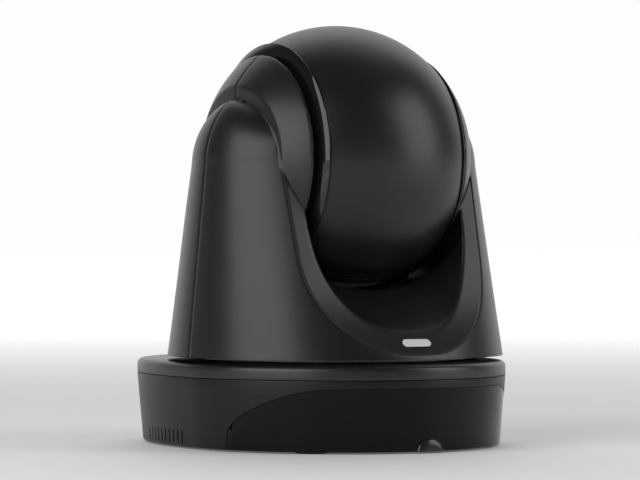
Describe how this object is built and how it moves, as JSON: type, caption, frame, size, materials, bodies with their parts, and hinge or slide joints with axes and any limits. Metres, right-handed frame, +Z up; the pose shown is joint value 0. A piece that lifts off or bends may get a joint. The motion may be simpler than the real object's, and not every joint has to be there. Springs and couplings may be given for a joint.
{
  "type": "ptz camera",
  "caption": "Black pan-tilt conference camera with an oval base, a two-armed turning yoke and a ball head parked with its lens down.",
  "frame": {"origin": "middle of the base's box, on the surface the feet stand on", "axes": "+Z up, -Y towards the front window and the badge, +X across the tilt axis, to the right of someone who faces the front"},
  "size_m": [0.1484, 0.1822, 0.1839],
  "materials": {
    "base_housing": "fine moulded satin texture",
    "base_top_cover": "fine moulded satin texture",
    "rear_io_panel": "fine moulded satin texture",
    "yoke_front_cover": "fine moulded satin texture",
    "yoke_rear_cover": "fine moulded satin texture",
    "head_shell": "fine moulded satin texture",
    "left_side_disc": "fine moulded satin texture",
    "right_side_disc": "fine moulded satin texture",
    "lens_barrel": "fine moulded satin texture",
    "zoom_cell": "fine moulded satin texture",
    "focus_cell": "fine moulded satin texture",
    "power_jack": "fine moulded satin texture",
    "serial_jack": "fine moulded satin texture",
    "reset_button": "fine moulded satin texture",
    "front_window": "polished",
    "ir_receiver_dome": "polished",
    "left_side_ring": "polished",
    "right_side_ring": "polished",
    "lens_bezel": "polished",
    "front_glass": "coated",
    "front_badge": "satin",
    "status_light_guide": "clear",
    "bottom_plate": "machined",
    "left_arm_bracket": "machined",
    "right_arm_bracket": "machined",
    "left_tilt_bearing": "machined",
    "right_tilt_bearing": "machined",
    "left_tilt_shaft": "machined",
    "right_tilt_shaft": "machined",
    "pan_bearing": "machined",
    "pan_motor": "machined",
    "tilt_motor": "machined",
    "network_jack": "machined",
    "usb_jack": "machined",
    "video_jack": "machined",
    "turntable": "cast",
    "camera_block": "cast",
    "pan_hub": "cast",
    "tripod_nut": "machined",
    "pan_pinion": "machined",
    "tilt_pinion": "machined",
    "pan_gear": "moulded nylon",
    "tilt_gear": "moulded nylon",
    "main_board": "solder mask",
    "sensor_board": "solder mask",
    "foot_front_left": "matte",
    "foot_front_right": "matte",
    "foot_rear_left": "matte",
    "foot_rear_right": "matte"
  },
  "bodies": {
    "base": {"base_housing": "base_housing", "base_top_cover": "base_top_cover", "front_window": "front_window", "ir_receiver_dome": "ir_receiver_dome", "status_light_guide": "status_light_guide", "bottom_plate": "bottom_plate", "tripod_nut": "tripod_nut", "foot_front_left": "foot_front_left", "foot_front_right": "foot_front_right", "foot_rear_left": "foot_rear_left", "foot_rear_right": "foot_rear_right", "main_board": "main_board", "pan_hub": "pan_hub", "pan_gear": "pan_gear", "pan_bearing": "pan_bearing", "rear_io_panel": "rear_io_panel", "power_jack": "power_jack", "network_jack": "network_jack", "usb_jack": "usb_jack", "video_jack": "video_jack", "serial_jack": "serial_jack"},
    "yoke": {"yoke_front_cover": "yoke_front_cover", "yoke_rear_cover": "yoke_rear_cover", "turntable": "turntable", "left_arm_bracket": "left_arm_bracket", "right_arm_bracket": "right_arm_bracket", "left_tilt_bearing": "left_tilt_bearing", "right_tilt_bearing": "right_tilt_bearing", "pan_motor": "pan_motor", "tilt_motor": "tilt_motor", "front_badge": "front_badge"},
    "head": {"head_shell": "head_shell", "lens_bezel": "lens_bezel", "front_glass": "front_glass", "lens_barrel": "lens_barrel", "sensor_board": "sensor_board", "camera_block": "camera_block", "left_tilt_shaft": "left_tilt_shaft", "right_tilt_shaft": "right_tilt_shaft", "left_side_ring": "left_side_ring", "right_side_ring": "right_side_ring", "left_side_disc": "left_side_disc", "right_side_disc": "right_side_disc", "tilt_gear": "tilt_gear"},
    "pan_pinion": {"pan_pinion": "pan_pinion"},
    "tilt_pinion": {"tilt_pinion": "tilt_pinion"},
    "zoom_cell": {"zoom_cell": "zoom_cell"},
    "focus_cell": {"focus_cell": "focus_cell"},
    "reset_button": {"reset_button": "reset_button"}
  },
  "joints": [
    {"name": "pan", "type": "hinge", "parent": "base", "child": "yoke", "pos_m": [0, -0.0138, 0.04], "axis": [0, 0, 1], "range_deg": [-170, 170]},
    {"name": "tilt", "type": "hinge", "parent": "yoke", "child": "head", "pos_m": [0, -0.0138, 0.1252], "axis": [-1, 0, 0], "range_deg": [0, 180]},
    {"name": "pan_pinion_spin", "type": "hinge", "parent": "yoke", "child": "pan_pinion", "pos_m": [-0.03669, -0.04046, 0.046], "axis": [0, 0, 1], "range_deg": [-680, 680]},
    {"name": "tilt_pinion_spin", "type": "hinge", "parent": "yoke", "child": "tilt_pinion", "pos_m": [-0.046, -0.0138, 0.0995], "axis": [-1, 0, 0], "range_deg": [-600, 0]},
    {"name": "zoom", "type": "slide", "parent": "head", "child": "zoom_cell", "axis": [0, 0, 1], "range_m": [0, 0.01]},
    {"name": "focus", "type": "slide", "parent": "head", "child": "focus_cell", "axis": [0, 0, 1], "range_m": [0, 0.006]},
    {"name": "reset_press", "type": "slide", "parent": "base", "child": "reset_button", "axis": [0, 0, 1], "range_m": [0, 0.0012], "stiffness_N_per_m": 150}
  ],
  "couplings": [
    {"joint": "pan_pinion_spin", "follows": "pan", "ratio": 4},
    {"joint": "tilt_pinion_spin", "follows": "tilt", "ratio": -3.3333}
  ]
}
